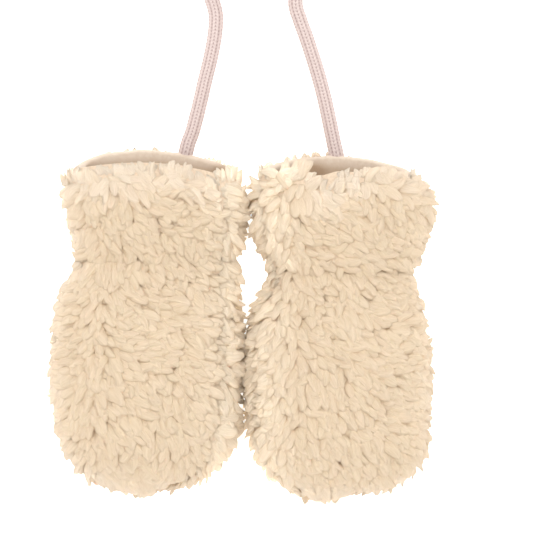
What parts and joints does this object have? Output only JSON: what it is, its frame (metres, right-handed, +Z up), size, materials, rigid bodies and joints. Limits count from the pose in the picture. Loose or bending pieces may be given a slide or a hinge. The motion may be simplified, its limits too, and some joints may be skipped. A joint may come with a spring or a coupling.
{
  "type": "pair of baby mittens",
  "caption": "Pair of thumbless baby mittens in thick curly pile with lined flared cuffs, lying side by side and joined by a knitted cord.",
  "frame": {"origin": "on the surface the mittens lie on, under the middle of the box round the two mittens without their cord", "axes": "+X across the pair, from the left mitten to the right one as seen from above with the fingertips towards the viewer; +Y from the fingertips to the cuffs and on along the cord; +Z up from the surface"},
  "size_m": [0.1458, 0.269, 0.0342],
  "materials": {
    "curly_pile": "thick cream pile of curled, pointed locks, matt with a soft sheen",
    "lining_jersey": "smooth beige jersey, matt",
    "knitted_cord": "pale rose tubular knit, matt"
  },
  "bodies": {
    "root": {"left_hand_front": "curly_pile", "left_hand_back": "curly_pile", "left_cuff_front": "curly_pile", "left_cuff_back": "curly_pile", "left_cuff_lining": "lining_jersey", "right_hand_front": "curly_pile", "right_hand_back": "curly_pile", "right_cuff_front": "curly_pile", "right_cuff_back": "curly_pile", "right_cuff_lining": "lining_jersey", "cord_left_run": "knitted_cord", "cord_right_run": "knitted_cord", "cord_coil": "knitted_cord"}
  },
  "joints": []
}
